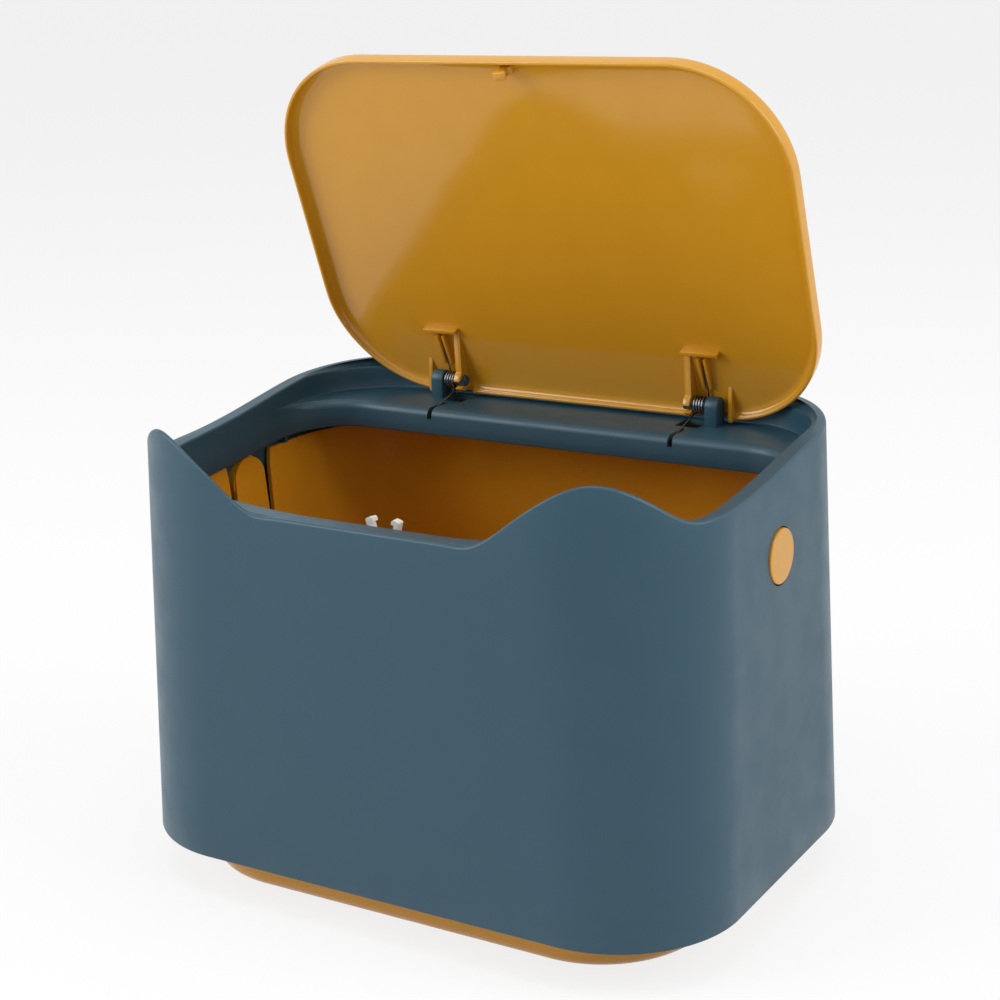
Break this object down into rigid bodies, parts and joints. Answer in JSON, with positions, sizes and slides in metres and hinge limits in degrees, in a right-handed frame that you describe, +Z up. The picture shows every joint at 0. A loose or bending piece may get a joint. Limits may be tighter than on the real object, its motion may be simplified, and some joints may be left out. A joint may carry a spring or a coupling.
{
  "type": "cat litter trash can",
  "caption": "Open-topped litter bucket inside a rounded outer shell with ear-like peaks at its front corners, a raised tray lid on sprung hinges and a push latch.",
  "frame": {"origin": "middle of the footprint on the floor, under the bucket's foot", "axes": "+Z up, front with the two ears towards -Y, +X to the viewer's right when facing the front"},
  "size_m": [0.28, 0.1986, 0.35],
  "materials": {
    "bucket_plastic": "smooth golden yellow moulded plastic",
    "lid_plastic": "glossy golden yellow moulded plastic",
    "shell_plastic": "satin slate blue moulded plastic",
    "latch_plastic": "plain white moulded plastic",
    "spring_steel": "bright drawn wire",
    "screw_steel": "zinc-plated steel"
  },
  "bodies": {
    "bucket": {"bucket": "bucket_plastic"},
    "shell": {"outer_shell": "shell_plastic", "hinge_pin_left": "shell_plastic", "hinge_pin_right": "shell_plastic", "hinge_spring_left": "spring_steel", "hinge_spring_right": "spring_steel", "latch_housing": "latch_plastic", "latch_guide_pin": "spring_steel", "latch_spring": "spring_steel", "latch_screws": "screw_steel"},
    "lid": {"lid": "lid_plastic"},
    "plunger": {"latch_plunger": "latch_plastic", "latch_jaw_pins": "spring_steel"},
    "jaw_left": {"latch_jaw_left": "latch_plastic"},
    "jaw_right": {"latch_jaw_right": "latch_plastic"},
    "tongue_left": {"snap_tongue_left": "bucket_plastic"},
    "tongue_right": {"snap_tongue_right": "bucket_plastic"}
  },
  "joints": [
    {"name": "shell_lift", "type": "slide", "parent": "bucket", "child": "shell", "axis": [0, 0, 1], "range_m": [0, 0.2], "deforming": ["snap_tongue_left", "snap_tongue_right"]},
    {"name": "lid_hinge", "type": "hinge", "parent": "shell", "child": "lid", "pos_m": [0, 0.078, 0.1955], "axis": [1, 0, 0], "range_deg": [0, 77.9], "stiffness_Nm_per_rad": 0.1, "springref_deg": -34.38, "deforming": ["hinge_spring_left", "hinge_spring_right"]},
    {"name": "latch_press", "type": "slide", "parent": "shell", "child": "plunger", "axis": [0, 0, -1], "range_m": [0, 0.0035], "stiffness_N_per_m": 400, "springref_m": -0.001, "deforming": ["latch_spring"]},
    {"name": "jaw_left_turn", "type": "hinge", "parent": "plunger", "child": "jaw_left", "pos_m": [-0.0046, -0.078, 0.1681], "axis": [0, 1, 0], "range_deg": [0, 16.1]},
    {"name": "jaw_right_turn", "type": "hinge", "parent": "plunger", "child": "jaw_right", "pos_m": [0.0046, -0.078, 0.1681], "axis": [0, -1, 0], "range_deg": [0, 16.1]},
    {"name": "button_left_press", "type": "hinge", "parent": "bucket", "child": "tongue_left", "pos_m": [-0.1268, 0.002, 0.103], "axis": [0, 1, 0], "range_deg": [0, 4.3], "stiffness_Nm_per_rad": 4},
    {"name": "button_right_press", "type": "hinge", "parent": "bucket", "child": "tongue_right", "pos_m": [0.1268, 0.002, 0.103], "axis": [0, -1, 0], "range_deg": [0, 4.3], "stiffness_Nm_per_rad": 4}
  ],
  "couplings": [
    {"joint": "jaw_left_turn", "follows": "latch_press", "rad_per_m": 79.786},
    {"joint": "jaw_right_turn", "follows": "latch_press", "rad_per_m": 79.786}
  ]
}
